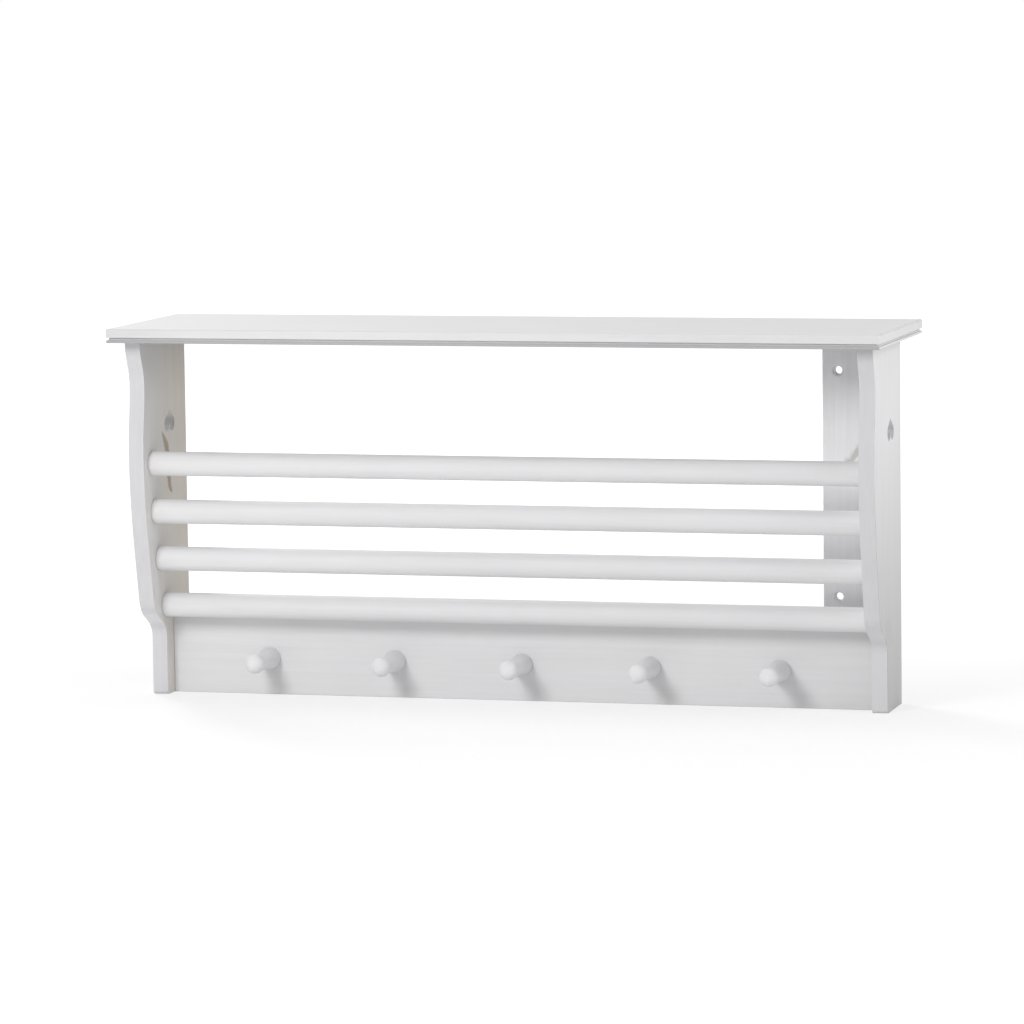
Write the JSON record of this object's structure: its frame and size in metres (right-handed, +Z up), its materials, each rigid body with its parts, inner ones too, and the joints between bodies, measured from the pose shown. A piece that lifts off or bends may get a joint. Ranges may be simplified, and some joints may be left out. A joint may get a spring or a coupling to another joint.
{
  "type": "peg rail with shelf",
  "caption": "Painted wooden shelf on serpentine side panels with heart cut-outs, round rails between them and a board of turned pegs below.",
  "frame": {"origin": "on the plane that the feet stand on, under the middle of the shelf board", "axes": "+X along the shelf to the right as seen from the front, +Y from the front edge towards the wall, +Z up"},
  "size_m": [0.8, 0.22, 0.3865],
  "materials": {
    "white_paint": "satin white paint on wood",
    "bare_wood": "unpainted beech, hidden in the joints"
  },
  "bodies": {
    "root": {"shelf_board": "white_paint", "side_panel_left": "white_paint", "side_panel_right": "white_paint", "rail_1": "white_paint", "rail_2": "white_paint", "rail_3": "white_paint", "rail_4": "white_paint", "peg_board": "white_paint", "pegs": "white_paint", "wall_stile": "white_paint", "shelf_dowels_left": "bare_wood", "shelf_dowels_right": "bare_wood", "board_dowels_left": "bare_wood", "board_dowels_right": "bare_wood", "stile_dowels": "bare_wood"}
  },
  "joints": []
}
